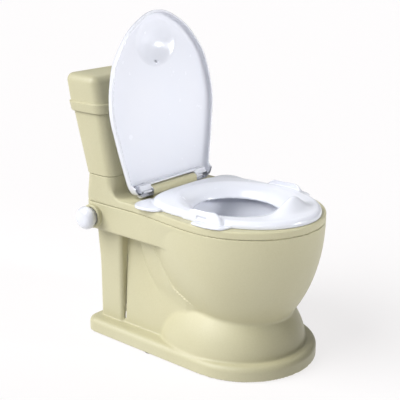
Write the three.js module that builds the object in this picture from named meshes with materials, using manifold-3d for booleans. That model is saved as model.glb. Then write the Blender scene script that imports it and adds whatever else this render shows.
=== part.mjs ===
// Potty training chair shaped like a small toilet: a hollow base with a plinth, pedestal and bowl,
// a deck with the foot of the tank, a tank and its cover, a hinged lid, a lift-off seat, a pot and a
// sprung flush knob that squeezes a squeaker. Millimetres, +Z up, -Y front, and the knob on -X.
// The origin is on the floor under the middle of the plinth.
import * as THREE from 'three';
import { mergeVertices } from 'three/addons/utils/BufferGeometryUtils.js';
import Module from 'manifold-3d';

const wasm = await Module();
wasm.setup();

// ---------------------------------------------------------------- driving dimensions
const WALL = 3;                 // moulded wall
const GAP = 0.3;                // clearance between pieces that meet
const FOOT_STANDOFF = 2;        // rubber feet below the plinth's lower edge

const PLINTH = { halfWidth: 113, front: -182, rear: 181, top: 25, edgeRadius: 9, cornerRadius: 20 };
const PEDESTAL = { halfWidth: 107, halfLength: 114, centre: -50, domeHeight: 100, domePower: 1.7, cut: 80 };
const BOWL = { halfWidth: 118.7, frontLength: 127.7, rearLength: 170, centre: -63.5, depth: 195 };
const BEAM = { halfWidth: 105, rear: 182, bottom: 182, flareEnd: 75, cornerRadius: 18 };
const COLUMN = { halfWidth: 90, front: 115, rear: 166, cornerRadius: 7 };
const WEB = { halfWidth: 78, front: 0 };
const TRAP_HALF_WIDTH = 82;
const SEAM = 227;               // top of the base, where the deck sits
const DECK_TOP = 239.3;
const DECK_EDGE_RADIUS = 2.5;
const NOSE_STEPS = 22;            // chords round the front half of the plinth, bowl and deck

const POT = { halfWidth: 80, halfLength: 90, centre: -52, depth: 122, wall: 2.2, flange: 12 };
const SEAT_HOLE = { halfWidth: 73, halfLength: 79, centre: -50, throatInset: 10, throatZ: 229 };
const SEAT = { halfWidth: 104, front: -188, centre: -60, rear: 68, crownZ: 250, wall: 3 };
const GUARD = { y: -153, height: 19, spreadX: 27, spreadY: 13 };
const HANDLE = { inner: 92.5, outer: 105.2, front: -97, rear: -42, top: 258.5 };

const HINGE = { y: 82, z: 249, pinRadius: 2.5, blockHalf: 52, blockRadius: 7.2, lugOuter: 79, lugRadius: 7.8 };
const LID = { length: 275.5, lean: 5.56, depth: 16, wall: 3, notchTop: 8.6, pocketV: 232 };

const TANK_SEAM = 274;
const TANK_TOP = 372;
const TANK = {
  foot: { halfWidth: 105, front: 116, rear: 181.7 },
  seam: { halfWidth: 107, front: 116.6, rear: 174.6 },
  top: { halfWidth: 109.5, front: 132.5, rear: 199.5 },
  cornerRadius: 14,
  filletRadius: 17,
};
const COVER = { bandTop: 388, top: 430, overhang: 4.5, step: 2.5, lean: 0.2, edgeRadius: 13 };

const KNOB = { y: 158, z: 204.5, bossRadius: 19, bossEnd: 113, capRadius: 18.7, capThickness: 17, travel: 4 };
const KNOB_BACK = KNOB.bossEnd + KNOB.travel + 0.5;   // back face of the cap at rest
const SPIGOT = { radius: 14, length: 7.5, socket: 4 };  // behind the cap, inside the boss
const STEM = { radius: 5, collarRadius: 11.4, collarFace: 80, collarBack: 82.5 };
const HOUSING = { radius: 14, wall: 2, end: 64, floor: 3, front: 93.5, earReach: 19 };
const SPRING = { turns: 5, coilRadius: 10.5, wireRadius: 0.6 };
const DECK_SCREW_SPOTS = [[-95, 122], [95, 122], [-95, 40], [95, 40]];
const FEET_SPOTS = [[-97, 163], [97, 163], [-103, 41], [103, 41], [-66, -140], [66, -140]];
const FOOT_RADIUS = 9;

const GREEN = { color: 0xcfcfa6, roughness: 0.45, metalness: 0 };
const WHITE = { color: 0xf1f3f7, roughness: 0.22, metalness: 0 };
const RUBBER = { color: 0x3a3a38, roughness: 0.8, metalness: 0 };
const STEEL = { color: 0xb8bcc0, roughness: 0.35, metalness: 1 };

// ---------------------------------------------------------------- outlines, all anticlockwise
function ellipse(halfWidth, halfLength, centreY, count = 36) {
  return Array.from({ length: count }, (_, i) => {
    const angle = (2 * Math.PI * i) / count;
    return [halfWidth * Math.cos(angle), centreY + halfLength * Math.sin(angle)];
  });
}

function corner(cx, cy, radius, start, steps = 3) {
  return Array.from({ length: steps + 1 }, (_, i) => {
    const angle = start + (Math.PI / 2) * (i / steps);
    return [cx + radius * Math.cos(angle), cy + radius * Math.sin(angle)];
  });
}

function roundedBox(halfWidth, front, rear, radius, steps = 3) {
  const x = halfWidth - radius;
  return [
    ...corner(x, rear - radius, radius, 0, steps),
    ...corner(-x, rear - radius, radius, Math.PI / 2, steps),
    ...corner(-x, front + radius, radius, Math.PI, steps),
    ...corner(x, front + radius, radius, 1.5 * Math.PI, steps),
  ];
}

function frontArc(halfWidth, halfLength, centreY) {
  return Array.from({ length: NOSE_STEPS + 1 }, (_, i) => {
    const angle = Math.PI + (Math.PI * i) / NOSE_STEPS;
    return [halfWidth * Math.cos(angle), centreY + halfLength * Math.sin(angle)];
  });
}

function plinthOutline() {
  const { halfWidth, front, rear, cornerRadius } = PLINTH;
  const nose = frontArc(halfWidth, halfWidth, front + halfWidth);
  return [
    ...corner(halfWidth - cornerRadius, rear - cornerRadius, cornerRadius, 0),
    ...corner(cornerRadius - halfWidth, rear - cornerRadius, cornerRadius, Math.PI / 2),
    ...nose,
  ];
}

// Straight along the beam, flaring to the bowl's rim, then round the bowl's front.
function deckOutline(rimHalfWidth = BOWL.halfWidth) {
  const flareSteps = 7;
  const flare = Array.from({ length: flareSteps }, (_, i) => {
    const y = BEAM.flareEnd - ((BEAM.flareEnd - BOWL.centre) * i) / flareSteps;
    const share = 1 - THREE.MathUtils.smoothstep(y, BOWL.centre, BEAM.flareEnd);
    return [-THREE.MathUtils.lerp(BEAM.halfWidth, rimHalfWidth, share), y];
  });
  const nose = frontArc(rimHalfWidth, BOWL.frontLength, BOWL.centre);
  const { halfWidth, rear, cornerRadius } = BEAM;
  return [
    ...corner(halfWidth - cornerRadius, rear - cornerRadius, cornerRadius, 0),
    ...corner(cornerRadius - halfWidth, rear - cornerRadius, cornerRadius, Math.PI / 2),
    ...flare,
    ...nose,
    ...flare.map(([x, y]) => [-x, y]).reverse(),
  ];
}

// Moves every point of an outline inwards along its own normal.
function inset(outline, distance) {
  const count = outline.length;
  return outline.map(([x, y], i) => {
    const [px, py] = outline[(i + count - 1) % count];
    const [nx, ny] = outline[(i + 1) % count];
    const length = Math.hypot(nx - px, ny - py);
    return [x - ((ny - py) / length) * distance, y + ((nx - px) / length) * distance];
  });
}

const ring = (outline, z) => outline.map(([x, y]) => [x, y, z]);

// ---------------------------------------------------------------- solids
function sides(index, start, next, count) {
  for (let i = 0; i < count; i += 1) {
    const j = (i + 1) % count;
    index.push(start + i, start + j, next + j, start + i, next + j, next + i);
  }
}

function closedGeometry(rings, index) {
  const geometry = new THREE.BufferGeometry();
  geometry.setAttribute('position', new THREE.Float32BufferAttribute(rings.flat(2), 3));
  geometry.setIndex(index);
  return geometry;
}

// A solid through a stack of rings, lowest first, each with the same number of points.
function loft(rings) {
  const count = rings[0].length;
  const last = (rings.length - 1) * count;
  const index = [];
  for (let r = 0; r + 1 < rings.length; r += 1) sides(index, r * count, (r + 1) * count, count);
  const flat = (points) => points.map(([x, y]) => new THREE.Vector2(x, y));
  for (const [a, b, c] of THREE.ShapeUtils.triangulateShape(flat(rings[0]), [])) index.push(a, c, b);
  for (const [a, b, c] of THREE.ShapeUtils.triangulateShape(flat(rings.at(-1)), [])) {
    index.push(last + a, last + b, last + c);
  }
  return solid(closedGeometry(rings, index));
}

// A closed band: rings that follow each other round a profile and come back to the first.
function band(rings) {
  const count = rings[0].length;
  const index = [];
  rings.forEach((_, r) => sides(index, r * count, ((r + 1) % rings.length) * count, count));
  return solid(closedGeometry(rings, index));
}

function solid(geometry) {
  const plain = geometry.index ? geometry.clone() : geometry;
  plain.deleteAttribute('normal');
  plain.deleteAttribute('uv');
  const merged = mergeVertices(plain, 1e-4);
  return new wasm.Manifold(new wasm.Mesh({
    numProp: 3,
    vertProperties: new Float32Array(merged.attributes.position.array),
    triVerts: new Uint32Array(merged.index.array),
  }));
}

function box(x0, x1, y0, y1, z0, z1) {
  const geometry = new THREE.BoxGeometry(x1 - x0, y1 - y0, z1 - z0);
  return solid(geometry.translate((x0 + x1) / 2, (y0 + y1) / 2, (z0 + z1) / 2));
}

function rod(radius, from, to, segments = 20) {
  const start = new THREE.Vector3(...from);
  const along = new THREE.Vector3(...to).sub(start);
  const geometry = new THREE.CylinderGeometry(radius, radius, along.length(), segments);
  geometry.applyQuaternion(new THREE.Quaternion().setFromUnitVectors(
    new THREE.Vector3(0, 1, 0), along.clone().normalize()));
  return solid(geometry.translate(...start.addScaledVector(along, 0.5).toArray()));
}

// A turned shape about the Z axis, from a profile of [radius, height] that starts and ends on it.
function turned(profile, segments = 24) {
  const points = profile.map(([radius, height]) => new THREE.Vector2(radius, height));
  return solid(new THREE.LatheGeometry(points, segments).rotateX(Math.PI / 2));
}

const join = (...parts) => parts.reduce((sum, part) => sum.add(part));
const cut = (body, ...tools) => tools.reduce((rest, tool) => rest.subtract(tool), body);

function prismX(outlineYZ, halfWidth) {
  const shape = new THREE.Shape(outlineYZ.map(([y, z]) => new THREE.Vector2(y, z)));
  const geometry = new THREE.ExtrudeGeometry(shape, { depth: 2 * halfWidth, bevelEnabled: false });
  geometry.translate(0, 0, -halfWidth);
  geometry.applyMatrix4(new THREE.Matrix4().makeBasis(
    new THREE.Vector3(0, 1, 0), new THREE.Vector3(0, 0, 1), new THREE.Vector3(1, 0, 0)));
  return solid(geometry);
}

const group = new THREE.Group();

function place(name, body, look, parent = group) {
  const mesh = body.getMesh();
  const geometry = new THREE.BufferGeometry();
  geometry.setAttribute('position', new THREE.BufferAttribute(mesh.vertProperties, 3));
  geometry.setIndex(new THREE.BufferAttribute(mesh.triVerts, 1));
  geometry.computeVertexNormals();
  const piece = new THREE.Mesh(geometry, new THREE.MeshStandardMaterial(look));
  piece.name = name;
  parent.add(piece);
  return piece;
}

// ---------------------------------------------------------------- base: outer form and its hollow
function plinthBody(t) {
  const { top, edgeRadius } = PLINTH;
  const outline = inset(plinthOutline(), t);
  const start = t > 0 ? FOOT_STANDOFF - 2 : FOOT_STANDOFF;
  const rings = [ring(outline, start)];
  const steps = 3;
  for (let i = 0; i <= steps; i += 1) {
    const angle = (Math.PI / 2) * (i / steps);
    const inward = edgeRadius * (1 - Math.cos(angle));
    rings.push(ring(inset(outline, inward), top - t - edgeRadius * (1 - Math.sin(angle))));
  }
  return loft(rings);
}

function pedestalBody(t) {
  const { halfWidth, halfLength, centre, domeHeight, domePower, cut: rise } = PEDESTAL;
  const foot = PLINTH.top;
  const rings = [ring(ellipse(halfWidth - t, halfLength - t, centre), foot - 2 * WALL - t)];
  const steps = 6;
  for (let i = 0; i <= steps; i += 1) {
    const z = (rise * i) / steps;
    const scale = Math.sqrt(1 - (z / domeHeight) ** domePower);
    rings.push(ring(ellipse(halfWidth * scale - t, halfLength * scale - t, centre), foot + z));
  }
  return loft(rings);
}

function bowlBody(t) {
  const { halfWidth, frontLength, rearLength, centre, depth } = BOWL;
  const section = (scale) => [
    ...frontArc((halfWidth - t) * scale, (frontLength - t) * scale, centre),
    ...frontArc((t - halfWidth) * scale, (t - rearLength) * scale, centre).slice(1, -1),
  ];
  const steps = 8;
  const rings = [];
  for (let i = 1; i <= steps; i += 1) {
    const angle = (Math.PI / 2) * (i / steps);
    rings.push(ring(section(Math.sin(angle)), SEAM - (depth - t) * Math.cos(angle)));
  }
  if (t > 0) rings.push(ring(section(1), SEAM + 1));
  return loft(rings);
}

// The beam is straight-sided underneath and flares to the bowl's rim at the seam.
function beamBody(t) {
  const rings = [
    ring(inset(deckOutline(BEAM.halfWidth), t), BEAM.bottom + t),
    ring(inset(deckOutline(), t), SEAM - 5),
    ring(inset(deckOutline(), t), SEAM),
  ];
  if (t > 0) rings.push(ring(inset(deckOutline(), t), SEAM + 1));
  const reach = BOWL.halfWidth + 1;
  return loft(rings).intersect(box(-reach, reach, BOWL.centre - 1, BEAM.rear + 1, BEAM.bottom, SEAM + 1));
}

// The rear face of the column is upright low down and flares back to meet the beam.
function columnBody(t) {
  const { halfWidth, front, rear, cornerRadius } = COLUMN;
  const levels = [[PLINTH.top - 4, 0], [110, 0], [150, 3], [BEAM.bottom + 5, 5]];
  return loft(levels.map(([z, flare]) => {
    const outline = roundedBox(halfWidth - t, front + t, rear + flare - t, cornerRadius, 3);
    return ring(outline, z);
  }));
}

// The trapway: a raised band that curves down from the beam behind the bowl to the pedestal.
function trapBody(t) {
  const curve = new THREE.CatmullRomCurve3([
    new THREE.Vector3(0, 26, 72), new THREE.Vector3(0, 32, 88), new THREE.Vector3(0, 44, 102),
    new THREE.Vector3(0, 60, 120), new THREE.Vector3(0, 74, 146), new THREE.Vector3(0, 86, 188),
  ]);
  const edge = curve.getPoints(7).map((point) => [point.y - t, point.z]);
  return prismX([[-60, 72], ...edge, [-60, 188]], TRAP_HALF_WIDTH - t);
}

function webBody(t) {
  return box(t - WEB.halfWidth, WEB.halfWidth - t, WEB.front, COLUMN.front + 2 * WALL, 20, 190);
}

const baseForm = (t) => join(
  plinthBody(t), pedestalBody(t), bowlBody(t), beamBody(t), columnBody(t), trapBody(t), webBody(t));

const onKnobAxis = (x) => [x, KNOB.y, KNOB.z];
const housingEars = [[1, -1], [-1, 1]].map(([sy, sz]) => [
  KNOB.y + (sy * HOUSING.earReach) / Math.SQRT2, KNOB.z + (sz * HOUSING.earReach) / Math.SQRT2]);

function baseShell() {
  const ribTop = PLINTH.top - 1;
  const boxSize = PLINTH.halfWidth - 1;
  const rib = box(-boxSize, boxSize, -2, 2, FOOT_STANDOFF, ribTop - 8);
  const spine = box(-2, 2, -60, 60, FOOT_STANDOFF, ribTop - 8);
  const footPosts = FEET_SPOTS.map(([x, y]) => rod(
    FOOT_RADIUS + 2, [x, y, FOOT_STANDOFF], [x, y, PLINTH.top - 4], 14));
  const recesses = FEET_SPOTS.map(([x, y]) => rod(FOOT_RADIUS + GAP, [x, y, 0], [x, y, 5], 14));
  const pillars = DECK_SCREW_SPOTS.map(([x, y]) => rod(6, [x, y, BEAM.bottom + 1], [x, y, 222], 12));
  const screwHoles = DECK_SCREW_SPOTS.map(([x, y]) => rod(2.2, [x, y, 180], [x, y, 230], 8));
  const headHoles = DECK_SCREW_SPOTS.map(([x, y]) => rod(4.3, [x, y, 180], [x, y, 187], 12));
  const boss = rod(KNOB.bossRadius, onKnobAxis(-BEAM.halfWidth + 2), onKnobAxis(-KNOB.bossEnd), 24);
  const bossBore = rod(14.6, onKnobAxis(-BEAM.halfWidth), onKnobAxis(-KNOB.bossEnd - 1), 20);
  const stemHole = rod(STEM.radius + GAP, onKnobAxis(-90), onKnobAxis(-120), 14);
  const posts = housingEars.map(([y, z]) => rod(3.5, [1 - BEAM.halfWidth, y, z], [-94, y, z], 10));
  const postHoles = housingEars.map(([y, z]) => rod(1.5, [-100, y, z], [-90, y, z], 8));
  const outer = baseForm(0);
  const shell = cut(outer, baseForm(WALL));
  const inside = join(rib, spine, ...footPosts).intersect(outer);
  return cut(
    join(shell, inside, ...pillars, boss, ...posts),
    ...recesses, ...screwHoles, ...headHoles, bossBore, stemHole, ...postHoles);
}

// ---------------------------------------------------------------- deck with the tank's foot
const mix = (a, b, t) => ({
  halfWidth: THREE.MathUtils.lerp(a.halfWidth, b.halfWidth, t),
  front: THREE.MathUtils.lerp(a.front, b.front, t),
  rear: THREE.MathUtils.lerp(a.rear, b.rear, t),
});

function tankRing(section, z, t = 0, radius = TANK.cornerRadius) {
  return ring(roundedBox(section.halfWidth - t, section.front + t, section.rear - t, radius), z);
}

// The tank's foot sweeps forward into the deck with a concave fillet.
function tankFoot(t) {
  const { foot, seam, filletRadius } = TANK;
  const heights = [0, 0.1, 0.25, 0.45, 0.7, 1];
  const top = TANK_SEAM - t;
  const base = t > 0 ? DECK_TOP - WALL - 1 : DECK_TOP - 1;
  const levels = heights.map((h) => base + (top - base) * h);
  return loft(levels.map((z) => {
    const section = mix(foot, seam, (z - DECK_TOP) / (TANK_SEAM - DECK_TOP));
    const below = Math.max(0, DECK_TOP + filletRadius - z);
    const reach = Math.min(below, filletRadius);
    const sweep = filletRadius - Math.sqrt(filletRadius ** 2 - reach ** 2);
    return tankRing({ ...section, front: section.front - sweep }, z, t, 12);
  }));
}

function deck() {
  const outline = deckOutline();
  const under = DECK_TOP - WALL;
  const skin = loft([
    ring(outline, SEAM + GAP), ring(outline, DECK_TOP - DECK_EDGE_RADIUS),
    ring(inset(outline, DECK_EDGE_RADIUS * 0.3), DECK_TOP - DECK_EDGE_RADIUS * 0.3),
    ring(inset(outline, DECK_EDGE_RADIUS), DECK_TOP),
  ]);
  const hollow = loft([ring(inset(outline, WALL), SEAM - 1), ring(inset(outline, WALL), under)]);
  const lip = band([
    ring(inset(outline, WALL + GAP), 223.5), ring(inset(outline, WALL + GAP), 229),
    ring(inset(outline, WALL - 1), 229), ring(inset(outline, WALL - 1), 231),
    ring(inset(outline, 2 * WALL), 231), ring(inset(outline, 2 * WALL), 223.5),
  ]);
  const mouth = (extra, z0, z1) => loft([z0, z1].map((z) => ring(ellipse(
    POT.halfWidth + extra, POT.halfLength + extra, POT.centre), z)));
  const collar = cut(mouth(8, 228, under + 1), mouth(5.5, 227, DECK_TOP));
  const bosses = DECK_SCREW_SPOTS.map(([x, y]) => rod(5, [x, y, 222.4], [x, y, under + 1], 12));
  const pilots = DECK_SCREW_SPOTS.map(([x, y]) => rod(2.2, [x, y, 220], [x, y, 234], 8));
  const block = hingeBlock();
  const spigot = loft([TANK_SEAM - 1, TANK_SEAM + 7].map((z) => tankRing(TANK.seam, z, 7, 8)));
  return cut(
    join(cut(skin, hollow), lip, collar, ...bosses, tankFoot(0), spigot, block),
    tankFoot(WALL), mouth(5.5, 227, DECK_TOP + 1), ...pilots, hingeBores());
}

function hingeBlock() {
  const { y, z, blockHalf, blockRadius } = HINGE;
  const barrel = rod(blockRadius, [-blockHalf, y, z], [blockHalf, y, z], 16);
  const web = box(-blockHalf, blockHalf, y - blockRadius, y + blockRadius, DECK_TOP - 1, z);
  return join(barrel, web);
}

function hingeBores() {
  const { y, z, blockHalf, pinRadius } = HINGE;
  const depth = 14;
  return join(...[-1, 1].map((side) => rod(
    pinRadius + GAP, [side * (blockHalf - depth), y, z], [side * (blockHalf + 1), y, z])));
}

function hingePin(side) {
  const { y, z, pinRadius } = HINGE;
  return rod(pinRadius, [side * 38.5, y, z], [side * 71.7, y, z]);
}

// ---------------------------------------------------------------- tank and its cover
function tankBody() {
  const { seam, top } = TANK;
  const steps = 3;
  const wall = (t, z0, z1) => loft(Array.from({ length: steps + 1 }, (_, i) => {
    const z = z0 + ((z1 - z0) * i) / steps;
    return tankRing(mix(seam, top, (z - TANK_SEAM) / (TANK_TOP - TANK_SEAM)), z, t);
  }));
  const socket = loft([TANK_SEAM - 1, TANK_SEAM + 8].map((z) => tankRing(seam, z, 7 - GAP, 8)));
  const body = cut(wall(0, TANK_SEAM + GAP, TANK_TOP), wall(WALL, TANK_SEAM + 8 + WALL, TANK_TOP + 1));
  return cut(body, socket);
}

function coverSection(z, extra) {
  const { top } = TANK;
  const shift = (z - TANK_TOP) * COVER.lean;
  return { halfWidth: top.halfWidth + extra, front: top.front - extra + shift, rear: top.rear + extra + shift };
}

function coverForm(t) {
  const { bandTop, top, overhang, step, edgeRadius } = COVER;
  const start = TANK_TOP + GAP - (t > 0 ? 1 : 0);
  const rings = [
    tankRing(coverSection(start, overhang - 1), start, t, 17),
    tankRing(coverSection(bandTop - 2 - t, overhang), bandTop - 2 - t, t, 17),
    tankRing(coverSection(bandTop - t, overhang - step), bandTop - t, t, 17),
  ];
  const steps = 4;
  for (let i = 0; i <= steps; i += 1) {
    const angle = (Math.PI / 2) * (i / steps);
    const inward = edgeRadius * (1 - Math.cos(angle));
    const z = top - t - edgeRadius * (1 - Math.sin(angle));
    rings.push(tankRing(coverSection(z, overhang - step - inward), z, t, 17));
  }
  return loft(rings);
}

function tankCover() {
  const lipTop = TANK_TOP + 6;
  const lipRing = (z, t) => tankRing(coverSection(z, 0), z, t, 11);
  const lip = band([
    lipRing(TANK_TOP - 8, WALL + 1.5), lipRing(lipTop, WALL + 1.5),
    lipRing(lipTop, WALL + 3.5), lipRing(TANK_TOP - 8, WALL + 3.5),
  ]);
  const ledge = band([
    lipRing(lipTop - 3, -3), lipRing(lipTop, -3), lipRing(lipTop, WALL + 3), lipRing(lipTop - 3, WALL + 3),
  ]);
  return join(cut(coverForm(0), coverForm(WALL)), lip, ledge);
}

// ---------------------------------------------------------------- pot
function potProfile(t) {
  const { halfWidth, halfLength, centre, depth } = POT;
  const rim = DECK_TOP + 2.7;
  const steps = 7;
  return Array.from({ length: steps + 1 }, (_, i) => {
    const along = i / steps;
    const scale = 0.5 + 0.5 * Math.sin((Math.PI / 2) * along) ** 0.8;
    const outline = ellipse(halfWidth * scale + t, halfLength * scale + t, centre, 32);
    return ring(outline, rim - depth * (1 - along) - t * (1 - along));
  });
}

function pot() {
  const { halfWidth, halfLength, centre, wall, flange } = POT;
  const low = DECK_TOP + GAP;
  const rim = DECK_TOP + 2.7;
  const outerEdge = ellipse(halfWidth + flange, halfLength + flange, centre, 32);
  const inner = potProfile(0);
  const lifted = [...inner.slice(0, -1), ring(ellipse(halfWidth, halfLength, centre, 32), rim + 1)];
  return cut(join(loft(potProfile(wall)), loft([ring(outerEdge, low), ring(outerEdge, rim)])), loft(lifted));
}

// ---------------------------------------------------------------- seat
function seatOuter(angle) {
  const { halfWidth, front, centre, rear } = SEAT;
  const reach = Math.sin(angle) < 0 ? centre - front : rear - centre;
  const power = Math.sin(angle) < 0 ? 1 : 0.72;
  const c = Math.cos(angle);
  const s = Math.sin(angle);
  return [halfWidth * Math.sign(c) * Math.abs(c) ** power, centre + reach * Math.sign(s) * Math.abs(s) ** power];
}

// Height added by the splash guard at the front of the seat.
function guardRise(x, y) {
  return GUARD.height * Math.exp(-((x / GUARD.spreadX) ** 2) - ((y - GUARD.y) / GUARD.spreadY) ** 2);
}

function seatRing() {
  const count = 44;
  const { halfWidth, halfLength, centre, throatInset, throatZ } = SEAT_HOLE;
  const rim = DECK_TOP + GAP;
  const crown = SEAT.crownZ;
  // Each row: part of the way from the seat's edge (0) to the hole (1), and a height.
  const top = [[0, rim], [0.01, rim + 3.5], [0.12, crown - 2.5], [0.35, crown], [0.7, crown - 1], [1, crown - 5]];
  const under = [[0.9, crown - 7], [0.66, crown - 4.5], [0.35, crown - 3.5], [0.2, crown - 5], [0.12, rim]];
  const angles = Array.from({ length: count }, (_, i) => (2 * Math.PI * i) / count);
  const row = ([along, z]) => angles.map((angle) => {
    const [ox, oy] = seatOuter(angle);
    const hx = halfWidth * Math.cos(angle);
    const hy = centre + halfLength * Math.sin(angle);
    const x = ox + (hx - ox) * along;
    const y = oy + (hy - oy) * along;
    return [x, y, z + (z > rim ? guardRise(x, y) : 0)];
  });
  const throat = (extra, z) => ring(ellipse(
    halfWidth - throatInset + extra, halfLength - throatInset + extra, centre, count), z);
  const rings = [...top.map(row), throat(1, throatZ + 4), throat(0, throatZ),
    throat(2.6, throatZ), throat(4, throatZ + 4), ...under.map(row)];
  return join(band(rings), ...[-1, 1].flatMap(seatSide));
}

// Flat ear at the rear, low tab beside the bowl's widest place, and the raised handle on the tab.
function seatSide(side) {
  const z0 = DECK_TOP + GAP;
  const mirror = (points) => (side > 0 ? points : points.map(([x, y]) => [-x, y]).reverse());
  const slab = (points, top) => loft([ring(mirror(points), z0), ring(mirror(points), top)]);
  const ear = slab([[86, 18], [108, 16], [114.5, 30], [116, 46], [112, 60], [100, 67], [70, 67], [84, 40]], z0 + 4);
  const tab = slab([[92, -112], [106, -112], [117, -100], [119.5, -80], [118, -58], [92, -58]], z0 + 3);
  const { inner, outer, front, rear, top } = HANDLE;
  const lean = 2;
  const wall = [[z0, inner, outer], [top - 6, inner + lean, outer], [top, inner + 2 * lean, outer - lean]];
  const handle = loft(wall.map(([z, x0, x1]) => ring(mirror(
    [[x0, front + (z - z0) * 0.5], [x1, front + (z - z0) * 0.5], [x1, rear], [x0, rear]]), z)));
  const grip = box(side > 0 ? outer - 6 : -outer - 1, side > 0 ? outer + 1 : 6 - outer,
    front + 16, rear - WALL, z0 + 3, top - 7);
  return [ear, tab, cut(handle, grip)];
}

// ---------------------------------------------------------------- lid, drawn flat about its hinge
function lidOutline() {
  const half = new THREE.CatmullRomCurve3([
    [80, -3], [89, 3], [94.5, 16], [100, 45], [108, 83], [114.6, 118], [115, 138], [111.5, 165],
    [101, 200], [86, 223], [63, 248], [36, 265], [13, 274], [0, LID.length],
  ].map(([x, v]) => new THREE.Vector3(x, v, 0))).getSpacedPoints(18).map((point) => [point.x, point.y]);
  return [...half, ...half.slice(0, -1).map(([x, v]) => [-x, v]).reverse()];
}

function lid() {
  const outline = lidOutline();
  const { depth, wall, notchTop, pocketV } = LID;
  const outer = loft([
    ring(inset(outline, 6), -depth), ring(inset(outline, 2.5), 1.2 - depth),
    ring(inset(outline, 0.5), 4.5 - depth), ring(outline, 8 - depth), ring(outline, 0),
  ]);
  const inner = loft([
    ring(inset(outline, wall + 4), wall - depth), ring(inset(outline, wall + 1), wall + 2 - depth),
    ring(inset(outline, wall), wall + 6 - depth), ring(inset(outline, wall), 1),
  ]);
  const pocket = (t) => solid(new THREE.SphereGeometry(1, 20, 10)
    .scale(40 - t, 31 - t, 15 - t).translate(0, pocketV, wall - depth));
  const keepBehind = (z) => box(-60, 60, pocketV - 60, pocketV + 60, -depth - 20, z);
  const { blockHalf, lugOuter, lugRadius, pinRadius } = HINGE;
  const notch = box(-blockHalf - GAP, blockHalf + GAP, -10, notchTop, -depth - 1, 10);
  const bottomWall = box(-blockHalf - 4, blockHalf + 4, notchTop, notchTop + wall, 1 - depth, 0);
  const barrels = [-1, 1].map((side) => join(
    rod(lugRadius, [side * (blockHalf + GAP), 0, 0], [side * lugOuter, 0, 0], 16),
    box(Math.min(side * (blockHalf + GAP), side * lugOuter), Math.max(side * (blockHalf + GAP), side * lugOuter),
      -2, 10, -lugRadius, 3)));
  const bores = [-1, 1].map((side) => rod(
    pinRadius + GAP, [side * blockHalf, 0, 0], [side * 72, 0, 0]));
  const shell = cut(
    join(outer, pocket(0).intersect(keepBehind(-depth + 2))), inner, pocket(wall), notch);
  return cut(join(shell, bottomWall, ...barrels), ...bores);
}

// ---------------------------------------------------------------- flush knob, spring and squeaker
const turnOntoKnobAxis = (body) => body.rotate([0, -90, 0]).translate([0, KNOB.y, KNOB.z]);

function flushKnob() {
  const back = KNOB_BACK;
  const { capRadius: r, capThickness: h } = KNOB;
  const { radius, length, socket } = SPIGOT;
  return turnOntoKnobAxis(turned([
    [0, back - length], [radius, back - length], [radius, back],
    [r * 0.86, back], [r, back + h * 0.3], [r * 0.98, back + h * 0.5],
    [r * 0.86, back + h * 0.74], [r * 0.6, back + h * 0.92], [r * 0.3, back + h * 0.985], [0, back + h],
  ], 24)).subtract(rod(STEM.radius + GAP, onKnobAxis(0), onKnobAxis(-back - socket)));
}

// The stem's inner collar seats the spring and presses on the bellows.
function knobStem() {
  const tip = KNOB_BACK + SPIGOT.socket - GAP;
  const { collarRadius, collarFace, collarBack } = STEM;
  return turnOntoKnobAxis(turned([
    [0, collarFace], [collarRadius, collarFace], [collarRadius, collarBack],
    [STEM.radius, collarBack], [STEM.radius, tip], [0, tip]], 14));
}

// Spring clip on the stem, inside the beam's wall, that keeps the knob from coming out.
function stemClip() {
  const [inner, outer] = [99.4, 101.4];
  const disc = rod(8, onKnobAxis(-inner), onKnobAxis(-outer), 16);
  const hole = rod(STEM.radius + GAP, onKnobAxis(1 - inner), onKnobAxis(-outer - 1), 14);
  const slot = box(-outer - 1, 1 - inner, KNOB.y - 1.5, KNOB.y + 1.5, KNOB.z - 12, KNOB.z);
  return cut(disc, hole, slot);
}

// Wire coil between the floor of the housing and the stem's collar.
function returnSpring() {
  const { turns, coilRadius, wireRadius } = SPRING;
  const from = HOUSING.end + HOUSING.floor + GAP + wireRadius;
  const to = STEM.collarFace - GAP - wireRadius;
  const chords = 8;
  const helix = new THREE.CatmullRomCurve3(Array.from({ length: turns * chords + 1 }, (_, i) => {
    const angle = (2 * Math.PI * i) / chords;
    const along = i / (turns * chords);
    return new THREE.Vector3(
      -THREE.MathUtils.lerp(from, to, along),
      KNOB.y + coilRadius * Math.cos(angle),
      KNOB.z + coilRadius * Math.sin(angle));
  }));
  const wire = new THREE.Shape().absarc(0, 0, wireRadius, 0, 2 * Math.PI);
  return solid(new THREE.ExtrudeGeometry(wire, {
    steps: turns * chords, curveSegments: 3, extrudePath: helix, bevelEnabled: false }));
}

// Rubber bulb with three folds, between the housing's floor and the stem's collar.
function bellows() {
  const from = HOUSING.end + HOUSING.floor + GAP;
  const to = STEM.collarFace - GAP;
  const folds = 3;
  const pitch = (to - from - 1.4) / folds;
  const profile = [[0, from], [8.8, from]];
  for (let i = 0; i < folds; i += 1) {
    const x = from + 0.7 + i * pitch;
    profile.push([8.8, x], [6.6, x + pitch / 2]);
  }
  profile.push([8.8, to - 0.7], [8.8, to], [0, to]);
  return turnOntoKnobAxis(turned(profile, 16));
}

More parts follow.
